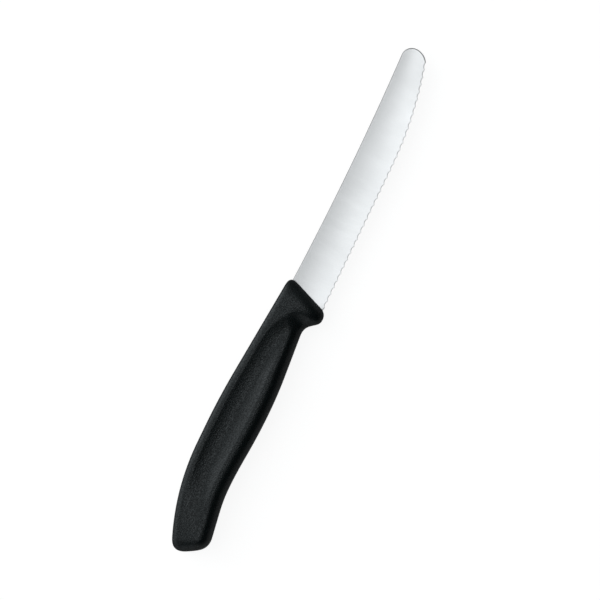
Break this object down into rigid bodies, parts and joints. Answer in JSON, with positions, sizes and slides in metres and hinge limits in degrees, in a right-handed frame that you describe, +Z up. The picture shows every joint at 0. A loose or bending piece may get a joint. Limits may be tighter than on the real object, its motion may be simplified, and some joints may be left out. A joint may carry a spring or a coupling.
{
  "type": "table knife",
  "caption": "Table knife with a round-tipped blade, a fine wavy edge and a curved moulded plastic handle with a finger guard and thumb hollows.",
  "frame": {"origin": "middle of the knife's bounding box, on the surface it lies on", "axes": "the knife lies on its left side: +X runs to the tip, +Y to the back of the blade, +Z up through the right side of the blade"},
  "size_m": [0.2218, 0.024, 0.013],
  "materials": {
    "steel": "fine satin, ground across the blade",
    "grip_plastic": "matte, finely grained from the mould"
  },
  "bodies": {
    "root": {"blade": "steel", "handle": "grip_plastic"}
  },
  "joints": []
}
